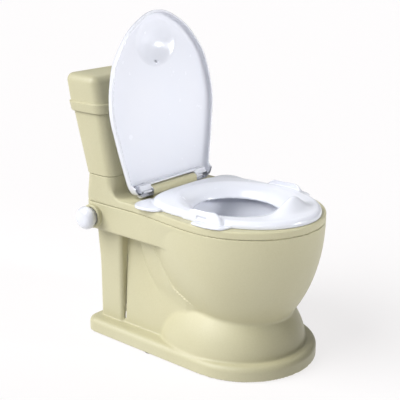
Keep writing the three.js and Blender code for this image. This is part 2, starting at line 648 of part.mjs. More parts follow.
function squeakerHousing() {
  const { radius, wall, end, floor, front } = HOUSING;
  const cup = rod(radius, onKnobAxis(-end), onKnobAxis(-front), 20);
  const ears = housingEars.map(([y, z]) => rod(3.5, [-front, y, z], [3 - front, y, z], 12));
  const straps = housingEars.map(([y, z]) => {
    const strap = new THREE.BoxGeometry(3, 6, HOUSING.earReach);
    strap.rotateX(Math.atan2(KNOB.y - y, z - KNOB.z));
    return solid(strap.translate(1.5 - front, (y + KNOB.y) / 2, (z + KNOB.z) / 2));
  });
  const chamber = rod(radius - wall, onKnobAxis(-end - floor), onKnobAxis(-front - 1), 20);
  const airHole = rod(2.5, onKnobAxis(1 - end), onKnobAxis(-end - floor - 1), 12);
  const holes = housingEars.map(([y, z]) => rod(1.5, [-100, y, z], [-85, y, z], 10));
  return cut(join(cup, ...ears, ...straps), chamber, airHole, ...holes);
}

function housingScrew([y, z]) {
  return join(rod(2.8, [-90.2, y, z], [-88.2, y, z], 14), rod(1.2, [-99, y, z], [-89, y, z], 10));
}

function deckScrew([x, y]) {
  return join(rod(3.9, [x, y, 183.5], [x, y, 186.5], 12), rod(1.9, [x, y, 186], [x, y, 233], 8));
}

const foot = ([x, y]) => rod(FOOT_RADIUS, [x, y, 0], [x, y, 4.7], 14);

// ---------------------------------------------------------------- assembly
place('base_shell', baseShell(), GREEN);
place('deck', deck(), GREEN);
place('tank_body', tankBody(), GREEN);
place('tank_cover', tankCover(), GREEN);
place('seat_ring', seatRing(), WHITE);
place('pot', pot(), WHITE);

const lidPiece = place('lid', lid(), WHITE);
lidPiece.position.set(0, HINGE.y, HINGE.z);
lidPiece.rotation.x = THREE.MathUtils.degToRad(90 - LID.lean);
place('hinge_pin_left', hingePin(-1), STEEL);
place('hinge_pin_right', hingePin(1), STEEL);

place('flush_knob', flushKnob(), WHITE);
place('knob_stem', knobStem(), WHITE);
place('stem_clip', stemClip(), STEEL);
place('return_spring', returnSpring(), STEEL);
place('squeaker_bellows', bellows(), RUBBER);
place('squeaker_housing', squeakerHousing(), WHITE);
housingEars.forEach((spot, i) => place(`housing_screw_${i + 1}`, housingScrew(spot), STEEL));
DECK_SCREW_SPOTS.forEach((spot, i) => place(`deck_screw_${i + 1}`, deckScrew(spot), STEEL));
FEET_SPOTS.forEach((spot, i) => place(`foot_${i + 1}`, foot(spot), RUBBER));

export default group;
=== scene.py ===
"""Potty training chair shaped like a small toilet, in the frame of its CAD.

The moulded pieces are described by distance fields in millimetres, negative inside, and meshed on a
regular grid. The tank, its cover, the pot, the knob and the feet are built ring by ring.
"""

import math

import bpy
import numpy as np
from mathutils import Matrix, Vector


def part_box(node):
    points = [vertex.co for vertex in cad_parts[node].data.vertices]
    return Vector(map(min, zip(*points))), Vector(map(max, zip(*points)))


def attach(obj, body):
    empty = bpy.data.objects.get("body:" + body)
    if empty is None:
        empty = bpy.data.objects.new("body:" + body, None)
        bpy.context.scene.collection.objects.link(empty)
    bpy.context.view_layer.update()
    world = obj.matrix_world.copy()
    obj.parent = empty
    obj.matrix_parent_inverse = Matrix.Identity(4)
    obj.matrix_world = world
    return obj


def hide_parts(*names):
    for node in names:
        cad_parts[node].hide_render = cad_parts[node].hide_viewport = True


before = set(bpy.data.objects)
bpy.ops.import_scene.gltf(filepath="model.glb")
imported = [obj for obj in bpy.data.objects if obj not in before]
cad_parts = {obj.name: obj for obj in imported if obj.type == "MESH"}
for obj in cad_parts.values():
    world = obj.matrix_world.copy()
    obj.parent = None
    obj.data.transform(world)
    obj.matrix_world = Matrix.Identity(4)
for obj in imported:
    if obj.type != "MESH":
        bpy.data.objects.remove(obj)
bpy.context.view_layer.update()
MM = 0.001


def edges_of(node):
    """Lowest and highest corner of a CAD node, in millimetres."""
    low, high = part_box(node)
    return [c / MM for c in low], [c / MM for c in high]


def heights_of(node):
    low, high = edges_of(node)
    return low[2], high[2]


def middle_of(node):
    """The middle of a CAD node, seen from above."""
    low, high = edges_of(node)
    return (low[0] + high[0]) / 2, (low[1] + high[1]) / 2


# ------------------------------------------------------------------ sizes, in millimetres
# "half" is half a width about the plane x = 0, and the fronts and rears are places along y.
PLINTH_LOW, SEAM = heights_of("base_shell")  # the deck sits on the base at SEAM
TANK_LOW, TANK_HIGH = heights_of("tank_body")
COVER_LOW, _ = heights_of("tank_cover")
FEET = [middle_of(f"foot_{i}") for i in range(1, 7)]
SCREWS = [middle_of(f"deck_screw_{i}") for i in range(1, 5)]

PLINTH_HALF, PLINTH_TOP, PLINTH_FRONT, PLINTH_REAR = 113.0, 25.0, -182.0, 181.0
NOSE_CENTRE = PLINTH_FRONT + PLINTH_HALF
PEDESTAL_HALF, PEDESTAL_LENGTH, PEDESTAL_CENTRE, PEDESTAL_HEIGHT = 107.0, 114.0, -50.0, 100.0
RIM_HALF, RIM_FRONT, RIM_BACK, RIM_CENTRE = 118.7, 127.7, 170.0, -63.5
BOWL_DEPTH = 195.0
BEAM_HALF, BEAM_REAR, BEAM_LOW, FLARE_END = 105.0, 182.0, 182.0, 75.0
COLUMN_HALF, COLUMN_FRONT, COLUMN_REAR = 90.0, 115.0, 166.0
WEB_HALF, WEB_LEAN, WEB_REAR = 87.0, 17.0, 125.0
TRAP_HALF, TRAP_SWELL, TRAP_LOW, TRAP_FRONT = 80.5, 7.0, 70.0, -60.0
LEG_TOP = 190.0  # the column, the web and the trapway band end inside the beam
GROOVE_DEPTH, GROOVE_LOW, GROOVE_TOP = 8.0, 30.0, 150.0
BASE_WALL = 4.6
RIB_HALF, RIB_TOP, RIB_REACH = 2.4, 16.0, 60.0
FOOT_RADIUS, FOOT_SOCKET, FOOT_BOSS, FOOT_BOSS_TOP = 9.0, 9.4, 12.0, 21.0
SCREW_BOSS, SCREW_BOSS_TOP = 6.0, 222.0

DECK_TOP, DECK_WALL, DECK_REAR = 239.3, 4.2, 181.7
TANK_FOOT_FRONT, TANK_SEAM, TANK_FOOT_CURVE = 116.3, 274.0, 17.0
SPIGOT_HALF, SPIGOT_FRONT, SPIGOT_REAR = 100.0, 123.6, 167.6
HINGE_Y, HINGE_Z, HINGE_HALF, HINGE_RADIUS = 82.0, 249.0, 52.0, 7.2
PIN_RADIUS, PIN_DEPTH = 2.8, 14.0

POT_HALF, POT_LENGTH, POT_CENTRE, POT_DEPTH = 80.0, 90.0, -52.0, 122.0
POT_WALL, POT_FLANGE, POT_FLANGE_THICK = 2.2, 12.0, 2.4

SEAT_HALF, SEAT_FRONT, SEAT_CENTRE, SEAT_REAR = 104.0, -188.0, -60.0, 68.0
HOLE_HALF, HOLE_LENGTH, HOLE_CENTRE = 73.0, 79.0, -50.0
CROWN, THROAT, SEAT_FLOOR, SEAT_WALL = 250.0, 229.0, DECK_TOP + 0.3, 3.2
GUARD_HEIGHT, GUARD_WIDTH, GUARD_LENGTH, GUARD_CENTRE = 23.0, 29.0, 14.5, -152.0

LID_LEAN = 5.56  # degrees, with the lid open
LID_DEPTH, LID_WALL, LID_SIDE = 16.0, 3.1, 3.6
LUG_CENTRE, LUG_HALF, LUG_RADIUS = 65.7, 13.3, 7.8

KNOB_Y, KNOB_Z, BOSS_END = 158.0, 204.5, 113.0
BOSS_RADIUS, BORE_RADIUS, STEM_HOLE_RADIUS, STEM_HOLE_END = 19.4, 14.6, 5.4, 90.0
KNOB_BACK, KNOB_RADIUS, KNOB_THICK, SPIGOT_RADIUS = BOSS_END + 4.5, 18.7, 17.0, 14.0


# ------------------------------------------------------------------ fields
def rounded_max(a, b, radius):
    """Keeps what is inside both, with a round outer edge."""
    u, v = np.maximum(a + radius, 0), np.maximum(b + radius, 0)
    return np.minimum(np.maximum(a, b), -radius) + np.sqrt(u * u + v * v)


def rounded_min(a, b, radius):
    """Joins two fields with a round inner corner."""
    return -rounded_max(-a, -b, radius)


def blend(a, b, width):
    """Joins two fields that may lie flush, with a soft corner."""
    share = np.clip(0.5 + 0.5 * (b - a) / width, 0, 1)
    return b + (a - b) * share - width * share * (1 - share)


def common(first, *others):
    """Keeps what is inside every field."""
    for other in others:
        first = np.maximum(first, other)
    return first


def cut(body, tool):
    return np.maximum(body, -tool)


def smoothstep(value, low, high):
    t = np.clip((value - low) / (high - low), 0, 1)
    return t * t * (3 - 2 * t)


def ellipse_field(x, y, half, length, centre):
    u, v = x / half, (y - centre) / length
    r = np.sqrt(u * u + v * v) + 1e-6
    slope = np.sqrt((u / half) ** 2 + (v / length) ** 2) / r
    return (r - 1) / np.maximum(slope, 1e-3)


def block_field(x, y, half, front, rear, radius):
    return rounded_max(np.abs(x) - half, np.abs(y - (front + rear) / 2) - (rear - front) / 2, radius)


def knob_rod(p, radius):
    """A rod about the knob's axis."""
    return np.hypot(p[1] - KNOB_Y, p[2] - KNOB_Z) - radius


def hinge_rod(p, radius):
    """A rod about the lid's hinge."""
    return np.hypot(p[1] - HINGE_Y, p[2] - HINGE_Z) - radius


def curve_through(points, count, closed=True):
    """A smooth curve through the given points, evenly split between each pair."""
    pts = np.array(points, float)
    n = len(pts)
    spans = n if closed else n - 1
    out = []
    for i in range(spans):
        pick = [(i + k) % n if closed else min(max(i + k, 0), n - 1) for k in (-1, 0, 1, 2)]
        a, b, c, d = pts[pick]
        t = np.linspace(0, 1, count, endpoint=False)[:, None]
        bend = (2 * a - 5 * b + 4 * c - d) * t**2 + (3 * b - a - 3 * c + d) * t**3
        out.append(0.5 * (2 * b + (c - a) * t + bend))
    if not closed:
        out.append(pts[-1:])
    return np.vstack(out)


def outline_field(points, centre):
    """The field of a smooth closed outline that every ray from centre crosses once."""
    curve = curve_through(points, 24) - np.array(centre)
    angle = np.arctan2(curve[:, 1], curve[:, 0])
    order = np.argsort(angle)
    even = np.linspace(-math.pi, math.pi, 721)
    radius = np.interp(even, angle[order], np.hypot(*curve.T)[order], period=2 * math.pi)
    kernel = np.ones(7) / 7
    radius = np.convolve(np.concatenate([radius[-4:-1], radius, radius[1:4]]), kernel, "valid")
    slope = np.gradient(radius, even)

    def field(x, y):
        dx, dy = x - centre[0], y - centre[1]
        a, r = np.arctan2(dy, dx), np.hypot(dx, dy)
        reach = np.interp(a, even, radius)
        turn = np.interp(a, even, slope) / np.maximum(reach, 1)
        return (r - reach) / np.sqrt(1 + turn * turn)

    return field


# ------------------------------------------------------------------ meshing
def sample(field, axes, slab=8):
    """The field's value at every point of a grid, a few sheets of points at a time."""
    value = np.empty([len(a) for a in axes], np.float32)
    y, z = np.meshgrid(axes[1], axes[2], indexing="ij")
    for i in range(0, len(axes[0]), slab):
        xs = axes[0][i : i + slab, None, None]
        p = [np.broadcast_to(xs, (len(xs), *y.shape)), y[None] + 0 * xs, z[None] + 0 * xs]
        value[i : i + slab] = field(p)
    return value


def surface(field, low, high, step):
    """Vertices and quads of a field's surface: one vertex in each grid cell that it crosses."""
    axes = [np.arange(a - step, b + 2 * step, step) for a, b in zip(low, high)]
    value = sample(field, axes)
    inside = value < 0
    cells = tuple(n - 1 for n in value.shape)

    def corner(array, c):
        return array[tuple(slice(c[k], c[k] + cells[k]) for k in range(3))]

    corners = [(i, j, k) for i in (0, 1) for j in (0, 1) for k in (0, 1)]
    held = sum(corner(inside, c).astype(np.int8) for c in corners)
    here = np.argwhere((held > 0) & (held < 8))
    number = np.full(cells, -1, np.int64)
    number[tuple(here.T)] = np.arange(len(here))
    total, hits = np.zeros((len(here), 3)), np.zeros(len(here))
    for a in corners:
        for k in range(3):
            if a[k]:
                continue
            b = tuple(c + (axis == k) for axis, c in enumerate(a))
            va = value[tuple((here + a).T)].astype(float)
            vb = value[tuple((here + b).T)].astype(float)
            cross = (va < 0) != (vb < 0)
            t = np.where(cross, va / np.where(cross, va - vb, 1), 0)
            place = np.array(a, float) + t[:, None] * (np.arange(3) == k)
            total += place * cross[:, None]
            hits += cross
    points = np.array([a[0] for a in axes]) + (here + total / hits[:, None]) * step
    quads = []
    for k in range(3):
        u, v = (k + 1) % 3, (k + 2) % 3
        near = [slice(1, -1)] * 3
        far = [slice(1, -1)] * 3
        near[k], far[k] = slice(0, -1), slice(1, None)
        first, second = inside[tuple(near)], inside[tuple(far)]
        spots = np.argwhere(first != second)
        leaving = first[tuple(spots.T)]
        spots[:, u] += 1
        spots[:, v] += 1
        ring = []
        for du, dv in ((-1, -1), (0, -1), (0, 0), (-1, 0)):
            cell = spots.copy()
            cell[:, u] += du
            cell[:, v] += dv
            ring.append(number[tuple(cell.T)])
        ring = np.stack(ring, 1)
        quads.append(np.where(leaving[:, None], ring, ring[:, ::-1]))
    return points, np.vstack(quads)


def slope_of(field, points, reach=0.25):
    grad = np.empty_like(points)
    for k in range(3):
        shift = np.zeros(3)
        shift[k] = reach
        grad[:, k] = (field((points + shift).T) - field((points - shift).T)) / (2 * reach)
    return grad


def settle(field, points, rounds=4, limit=1.2):
    """Moves points onto the field's surface, by no more than limit in each round."""
    for _ in range(rounds):
        grad = slope_of(field, points)
        size = np.maximum((grad * grad).sum(1), 0.05)
        move = -(field(points.T) / size)[:, None] * grad
        length = np.linalg.norm(move, axis=1, keepdims=True)
        points = points + move * np.minimum(1, limit / np.maximum(length, 1e-9))
    return points


def make_object(name, points, faces, body, material, stands_for, slot, normals=None, to_world=None):
    points = np.asarray(points, float)
    if to_world is not None:
        matrix = np.array(to_world)
        points = points @ matrix[:3, :3].T + matrix[:3, 3]
        normals = normals @ matrix[:3, :3].T
    mesh = bpy.data.meshes.new(name)
    mesh.from_pydata((points * MM).tolist(), [], [list(map(int, f)) for f in faces])
    mesh.validate()
    mesh.shade_smooth()
    if normals is not None:
        mesh.normals_split_custom_set_from_vertices(normals.tolist())
    mesh.materials.append(material)
    made = bpy.data.objects.new(name, mesh)
    bpy.context.scene.collection.objects.link(made)
    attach(made, body)
    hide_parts(*stands_for)
    return made


def make_from_field(name, field, low, high, step, body, material, node, slot, to_world=None):
    points, quads = surface(field, low, high, step)
    points = settle(field, points)
    grad = slope_of(field, points, 0.35)
    normals = grad / np.maximum(np.linalg.norm(grad, axis=1, keepdims=True), 1e-9)
    return make_object(name, points, quads, body, material, [node], slot, normals, to_world)


# ------------------------------------------------------------------ base
def deck_plan(x, y, flare=1.0, grow=0.0, rear=BEAM_REAR):
    """Outline of the rim and the deck. flare is how far the sides open towards the rim."""
    share = 1 - smoothstep(y, RIM_CENTRE, FLARE_END)
    half = BEAM_HALF + grow + (RIM_HALF - BEAM_HALF - grow) * share * flare
    side = (np.abs(x) - half) / 1.006
    sides = rounded_max(side, y - rear, 18.0)
    nose = ellipse_field(x, y, half, RIM_FRONT, RIM_CENTRE)
    return np.where(y < RIM_CENTRE, nose, sides)


# points are (y, z): where the trapway band ends at the back, and where it meets the bowl
TRAP_EDGE = curve_through(
    [(20, 60), (26, 72), (32, 88), (44, 102), (60, 120), (74, 146), (86, 188), (90, 204)], 6, closed=False
)
TRAP_SKIRT = curve_through(
    [(-60, 84), (-26, 98), (5, 113), (20, 131), (31, 150), (44, 168), (52, 200)], 6, closed=False
)


def plinth(p):
    x, y, z = p
    nose = np.hypot(x, y - NOSE_CENTRE) - PLINTH_HALF
    sides = rounded_max(np.abs(x) - PLINTH_HALF, y - PLINTH_REAR, 20.0)
    return rounded_max(np.where(y < NOSE_CENTRE, nose, sides), z - PLINTH_TOP, 9.0)


def pedestal(p):
    """A dome, elliptic towards the front and squarer towards the rear."""
    x, y, z = p
    power = 1.7
    square = np.where(y > PEDESTAL_CENTRE, 2.6, 2.0)
    rise = np.clip(z - PLINTH_TOP, 0, PEDESTAL_HEIGHT) / PEDESTAL_HEIGHT
    u = np.abs(x) / PEDESTAL_HALF + 1e-4
    v = np.abs(y - PEDESTAL_CENTRE) / PEDESTAL_LENGTH + 1e-4
    total = u**square + v**square
    level = total ** (2 / square) + rise**power - 1
    steep = 2 * total ** (2 / square - 1)
    level_slope = steep * np.hypot(u ** (square - 1) / PEDESTAL_HALF, v ** (square - 1) / PEDESTAL_LENGTH)
    slope = np.hypot(level_slope, power * rise ** (power - 1) / PEDESTAL_HEIGHT)
    return level / np.maximum(slope, 4e-3)


def bowl(p):
    x, y, z = p
    length = np.where(y < RIM_CENTRE, RIM_FRONT, RIM_BACK)
    u, v, w = x / RIM_HALF, (y - RIM_CENTRE) / length, (SEAM - z) / BOWL_DEPTH
    w = np.maximum(w, 0)
    r = np.sqrt(u * u + v * v + w * w) + 1e-6
    slope = np.sqrt((u / RIM_HALF) ** 2 + (v / length) ** 2 + (w / BOWL_DEPTH) ** 2) / r
    return (r - 1) / np.maximum(slope, 1e-3)


def beam(p):
    x, y, z = p
    flare = np.clip((z - BEAM_LOW) / (SEAM - 5 - BEAM_LOW), 0, 1)
    plan = np.maximum(deck_plan(x, y, flare), RIM_CENTRE - y)
    return rounded_max(plan, BEAM_LOW - z, 2.5)


def column(p):
    x, y, z = p
    rear = COLUMN_REAR + 5 * smoothstep(z, 110.0, 185.0)
    plan = block_field(x, y, COLUMN_HALF, COLUMN_FRONT, rear, 7.0)
    return np.maximum(plan, z - LEG_TOP)


def trap(p):
    """The raised band of the trapway behind the bowl, which runs out under the bowl."""
    x, y, z = p
    edge = np.interp(z, TRAP_EDGE[:, 1], TRAP_EDGE[:, 0])
    skirt = np.interp(z, TRAP_SKIRT[:, 1], TRAP_SKIRT[:, 0])
    share = np.clip((edge - y) / np.maximum(edge - skirt, 8), 0, 1)
    half = TRAP_HALF + TRAP_SWELL * share - 0.9 * np.maximum(skirt - y, 0) - 0.25 * np.maximum(-20 - y, 0)
    body = rounded_max(np.abs(x) - half, (y - edge) * 0.82, 2.2)
    return common(body, TRAP_FRONT - y, TRAP_LOW - z, z - LEG_TOP)


def web_half(z):
    return WEB_HALF - WEB_LEAN * np.clip((z - PLINTH_TOP) / (BEAM_LOW - PLINTH_TOP), 0, 1) ** 1.25


def web(p):
    """The wall between the pedestal and the column, wider towards the floor."""
    x, y, z = p
    return common(np.abs(x) - web_half(z), -y, y - WEB_REAR, z - LEG_TOP)


def groove(p):
    """The V-shaped gap between the web and the column, deeper towards the floor."""
    x, y, z = p
    bottom = web_half(z) - GROOVE_DEPTH * np.clip((GROOVE_TOP - z) / 90, 0, 1)
    vee = (np.abs(y - COLUMN_FRONT) - 0.6 * (np.abs(x) - bottom)) / 1.17
    return common(vee, y - COLUMN_FRONT, GROOVE_LOW - z, z - GROOVE_TOP)


def base_form(p):
    """The outside of the base. The corners between its parts grow softer away from the rim."""
    z = p[2]
    legs = blend(blend(column(p), web(p), 1.6), trap(p), 1.6)
    low = rounded_min(blend(plinth(p), pedestal(p), 4.0), legs, 2.0)
    top = blend(bowl(p), beam(p), np.clip((SEAM - 12 - z) / 8, 0.05, 3.5))
    return blend(low, top, 4.5 * np.clip((SEAM - z) / 60, 0.1, 1))


def base_inside(p):
    """Crossed ribs on the underside, and bosses for the feet and the deck's screws."""
    x, y, z = p
    inside = np.minimum(np.abs(y) - RIB_HALF, np.maximum(np.abs(x) - RIB_HALF, np.abs(y) - RIB_REACH))
    inside = np.maximum(inside, z - RIB_TOP)
    for fx, fy in FEET:
        boss = np.maximum(np.hypot(x - fx, y - fy) - FOOT_BOSS, z - FOOT_BOSS_TOP)
        inside = np.minimum(inside, boss)
    for sx, sy in SCREWS:
        boss = common(np.hypot(x - sx, y - sy) - SCREW_BOSS, BEAM_LOW + 1 - z, z - SCREW_BOSS_TOP)
        inside = np.minimum(inside, boss)
    return inside


def base_field(p):
    x, y, z = p
    form = base_form(p)
    shell = cut(form, form + BASE_WALL)
    shell = np.minimum(shell, np.maximum(base_inside(p), form))
    boss = rounded_max(knob_rod(p, BOSS_RADIUS), -BOSS_END - x, 1.6)
    boss = np.maximum(boss, x + BEAM_HALF - 2)
    shell = rounded_min(shell, boss, 1.5)
    shell = cut(shell, np.maximum(knob_rod(p, BORE_RADIUS), x + BEAM_HALF))
    shell = cut(shell, np.maximum(knob_rod(p, STEM_HOLE_RADIUS), x + STEM_HOLE_END))
    for fx, fy in FEET:
        shell = cut(shell, np.maximum(np.hypot(x - fx, y - fy) - FOOT_SOCKET, z - 5))
    shell = cut(shell, groove(p))
    shell = rounded_max(shell, PLINTH_LOW - z, 0.8)
    return rounded_max(shell, z - SEAM, 0.9)


# ------------------------------------------------------------------ deck with the tank's foot
def deck_form(p, t=0.0):
    """The outside of the deck, moved inwards by t."""
    x, y, z = p
    share = np.clip((z - DECK_TOP) / (TANK_SEAM - DECK_TOP), 0, 1)
    rear = DECK_REAR - 7.1 * share
    plan = deck_plan(x, y, 1.0, 2.0 * share, rear) + t
    profile = rounded_min(z - DECK_TOP + t, TANK_FOOT_FRONT - y + t, TANK_FOOT_CURVE)
    edge = 2.8 + 9.5 * smoothstep(z, DECK_TOP + 2, DECK_TOP + 26)
    body = rounded_max(profile, plan, edge)
    return np.maximum(body, z - (TANK_SEAM - 0.3) + t)


def hinge_block(p):
    x, y, z = p
    ends = np.abs(x) - HINGE_HALF
    barrel = rounded_max(hinge_rod(p, HINGE_RADIUS), ends, 1.5)
    stand = rounded_max(np.abs(y - HINGE_Y) - HINGE_RADIUS, ends, 1.5)
    stand = common(stand, DECK_TOP - 2 - z, z - HINGE_Z)
    return np.minimum(barrel, stand)


def deck_field(p):
    x, y, z = p
    body = deck_form(p)
    mouth = ellipse_field(x, y, POT_HALF + 5.5, POT_LENGTH + 5.5, POT_CENTRE)
    lining = np.maximum(mouth - 3.4, z - DECK_TOP + 1)
    body = cut(body, np.maximum(deck_form(p, DECK_WALL), -lining))
    spigot = block_field(x, y, SPIGOT_HALF, SPIGOT_FRONT, SPIGOT_REAR, 8.0)
    body = np.minimum(body, common(spigot, TANK_SEAM - 4 - z, z - TANK_SEAM - 7))
    body = blend(body, hinge_block(p), 2.0)
    body = cut(body, np.maximum(hinge_rod(p, PIN_RADIUS), HINGE_HALF - PIN_DEPTH - np.abs(x)))
    dimple = np.hypot(np.hypot(np.abs(x) - 99.5, y - 68), z - DECK_TOP - 0.6) - 2.2
    body = rounded_max(body, -dimple, 0.4)
    body = rounded_max(body, -mouth, 1.2)
    return rounded_max(body, SEAM + 0.3 - z, 0.8)


# ------------------------------------------------------------------ seat
def guard(x, y):
    """Height and slope of the splash guard's rise."""
    forward = y - GUARD_CENTRE
    rise = GUARD_HEIGHT * np.exp(-((x / GUARD_WIDTH) ** 2) - (forward / GUARD_LENGTH) ** 2)
    slope = rise * np.hypot(2 * x / GUARD_WIDTH**2, 2 * forward / GUARD_LENGTH**2)
    return rise, slope


def seat_plan(x, y):
    """The seat's outline: half an ellipse in front, squarer at the rear."""
    reach = np.where(y < SEAT_CENTRE, SEAT_CENTRE - SEAT_FRONT, SEAT_REAR - SEAT_CENTRE)
    power = np.where(y < SEAT_CENTRE, 2.0, 3.7)
    u, v = np.abs(x) / SEAT_HALF + 1e-4, np.abs(y - SEAT_CENTRE) / reach + 1e-4
    total = u**power + v**power
    r = total ** (1 / power)
    slope = r ** (1 - power) * np.hypot(u ** (power - 1) / SEAT_HALF, v ** (power - 1) / reach)
    return (r - 1) / np.maximum(slope, 2e-3)


# points are (x, y) of the flat tabs beside the hinge and under the handles
EAR = outline_field(
    [(84, 14), (100, 13), (110, 20), (114.5, 32), (116, 48), (112, 60), (101, 67), (84, 68), (70, 62),
     (70, 36)],
    (94, 42),
)
TAB = outline_field(
    [(92, -112), (106, -112), (114, -105), (118, -92), (119.5, -78), (118.5, -60), (112, -57), (98, -57),
     (88, -60), (86, -90)],
    (102, -84),
)


def seat_form(p, t=0.0):
    """The ring's outside and funnel, moved inwards by t, and the field of its hole."""
    x, y, z = p
    rise, slope = guard(x, y)
    crown = (z - CROWN - rise) / np.sqrt(1 + slope * slope) + t
    body = rounded_max(seat_plan(x, y) + t, crown, np.maximum(8.5 - t, 3.0))
    hole = ellipse_field(x, y, HOLE_HALF, HOLE_LENGTH, HOLE_CENTRE)
    # the funnel falls from the crown to the throat, which is 10 mm inside the hole's outline
    funnel = (-17 * (hole - 5) + 14 * (z - CROWN - 0.7 * rise)) / 22.0 + t
    body = rounded_max(body, funnel, np.maximum(12.0 - t, 4.0))
    return body, hole


def seat_handle(side, y, height):
    """A soft bar that narrows upwards, with a recess for the fingertips. height is above the tab."""
    along = np.abs(y + 68.0) - 38.0 + 0.6 * height
    across = np.abs(side - 98.0) - 7.2 + 0.12 * height
    bar = rounded_max(across, rounded_max(along, height + SEAT_FLOOR - 258.2, 9.0), 4.2)
    grip = common(102.0 - side, np.abs(height + SEAT_FLOOR - 245.6) - 3.0, np.abs(y + 66) - 9)
    return rounded_max(bar, -grip, 1.2)


def seat_field(p):
    x, y, z = p
    body, hole = seat_form(p)
    hollow, _ = seat_form(p, SEAT_WALL)
    body = cut(body, np.maximum(hollow, -hole - 6.2))
    body = rounded_max(body, -10 - hole, 1.4)
    lip = np.maximum(hole - 1.5, THROAT - z)
    above = SEAT_FLOOR - z
    body = np.maximum(body, np.minimum(above, lip))
    side = np.abs(x)
    ear = rounded_max(EAR(side, y), z - SEAT_FLOOR - 4.2, 1.6)
    tab = rounded_max(TAB(side, y), z - SEAT_FLOOR - 3.4, 1.3)
    flat = np.minimum(np.minimum(ear, tab), seat_handle(side, y, z - SEAT_FLOOR))
    outside = cut(np.maximum(flat, above), seat_plan(x, y) + SEAT_WALL)
    return blend(body, outside, 3.0)


# ------------------------------------------------------------------ lid, drawn flat about its hinge
# x is across, v is away from the hinge and u is towards the lid's open side
LID_HALF = [
    (80, -3), (89, 3), (94.5, 16), (100, 45), (108, 83), (114.6, 118), (115, 138), (111.5, 165),
    (101, 200), (86, 223), (63, 248), (36, 265), (13, 274),
]
LID_PLAN = outline_field(
    LID_HALF + [(-x, v) for x, v in reversed(LID_HALF)] + [(-48, -5.5), (0, -5.8), (48, -5.5)], (0, 132)
)


def lid_dish(p):
    """The lid's shallow dish, with a deeper hollow for the splash guard that bulges out at the back."""
    x, v, u = p
    plan = LID_PLAN(x, v) - 2.0 * smoothstep(v, 10.0, 60.0)
    dome = 0.96 * np.clip(1 - (x / 110) ** 2, 0, 1) * np.clip(1 - ((v - 125) / 150) ** 2, 0, 1)
    dimple = 13.0 * np.clip(1 - (x / 46) ** 2 - ((v - 227) / 38) ** 2, 0, 1) ** 1.6
    outer = rounded_max(plan, -LID_DEPTH - dimple - u, 11.0)
    inner = rounded_max(plan + LID_SIDE, -LID_DEPTH + LID_WALL + dome - dimple - u, 8.5)
    body = rounded_max(outer, -inner, 1.4)
    nub = np.sqrt(x**2 + (v - 197) ** 2 + (u + 12.6) ** 2) - 2.4
    return blend(body, nub, 1.2)


def lid_field(p):
    x, v, u = p
    side = np.abs(x)
    body = cut(lid_dish(p), np.maximum(side - HINGE_HALF - 0.3, v - 8.6))
    wall = rounded_max(np.abs(v - 10.3) - 1.7, np.abs(u + 7.6) - 7.6, 1.3)
    body = blend(body, np.maximum(wall, side - 57), 1.5)
    ends = np.abs(side - LUG_CENTRE) - LUG_HALF
    barrel = rounded_max(np.hypot(v, u) - LUG_RADIUS, ends, 1.8)
    stem = rounded_max(ends, np.maximum(np.abs(v - 5) - 7, np.abs(u + 3) - 5.5), 1.8)
    body = blend(body, np.minimum(barrel, stem), 2.0)
    body = cut(body, np.maximum(np.hypot(v, u) - PIN_RADIUS, side - 72))
    front = -1.2 + 9.5 * smoothstep(-v, -17.0, -7.0)
    return rounded_max(body, u - front, 1.2)


# ------------------------------------------------------------------ pieces built ring by ring
def box_ring(half, front, rear, radius, z, count=7):
    """Points round a rounded rectangle."""
    ring = []
    for k, (cx, cy) in enumerate(((1, 1), (-1, 1), (-1, -1), (1, -1))):
        for a in np.linspace(0, math.pi / 2, count) + k * math.pi / 2:
            x = cx * (half - radius) + radius * math.cos(a)
            y = (rear - radius if cy > 0 else front + radius) + radius * math.sin(a)
            ring.append((x, y, z))
    return ring


def ellipse_ring(half, length, centre, z, count=96):
    angles = np.arange(count) * 2 * math.pi / count
    return [(half * math.cos(a), centre + length * math.sin(a), z) for a in angles]


def turned_ring(radius, x, count=64):
    """A ring about the knob's axis, for a piece that points towards -X."""
    angles = np.arange(count) * 2 * math.pi / count
    return [(x, KNOB_Y + radius * math.cos(a), KNOB_Z - radius * math.sin(a)) for a in angles]


def round_ring(place, radius, z, count=32):
    angles = np.arange(count) * 2 * math.pi / count
    return [(place[0] + radius * math.cos(a), place[1] + radius * math.sin(a), z) for a in angles]


def stack(rings):
    """Vertices and faces through a list of rings, with both ends capped."""
    n = len(rings[0])
    points = [p for ring in rings for p in ring]
    last = (len(rings) - 1) * n
    faces = []
    for a in range(0, last, n):
        faces += [(a + i, a + (i + 1) % n, a + n + (i + 1) % n, a + n + i) for i in range(n)]
    faces.append(tuple(reversed(range(n))))
    faces.append(tuple(range(last, last + n)))
    return points, faces


def arc(radius, steps=6):
    """Inset and drop of a rounded edge, from the wall to the top."""
    for a in np.linspace(0, math.pi / 2, steps):
        yield radius * (1 - math.cos(a)), radius * (1 - math.sin(a))


def crease(made, degrees=38):
    made.data.set_sharp_from_angle(angle=math.radians(degrees))


def tank_section(z):
    """Half width, front and rear of the tank, which widens and leans back upwards."""
    t = (z - TANK_SEAM) / (TANK_HIGH - TANK_SEAM)
    return 107 + 2.5 * t, 116.6 + 15.9 * t, 174.6 + 24.9 * t


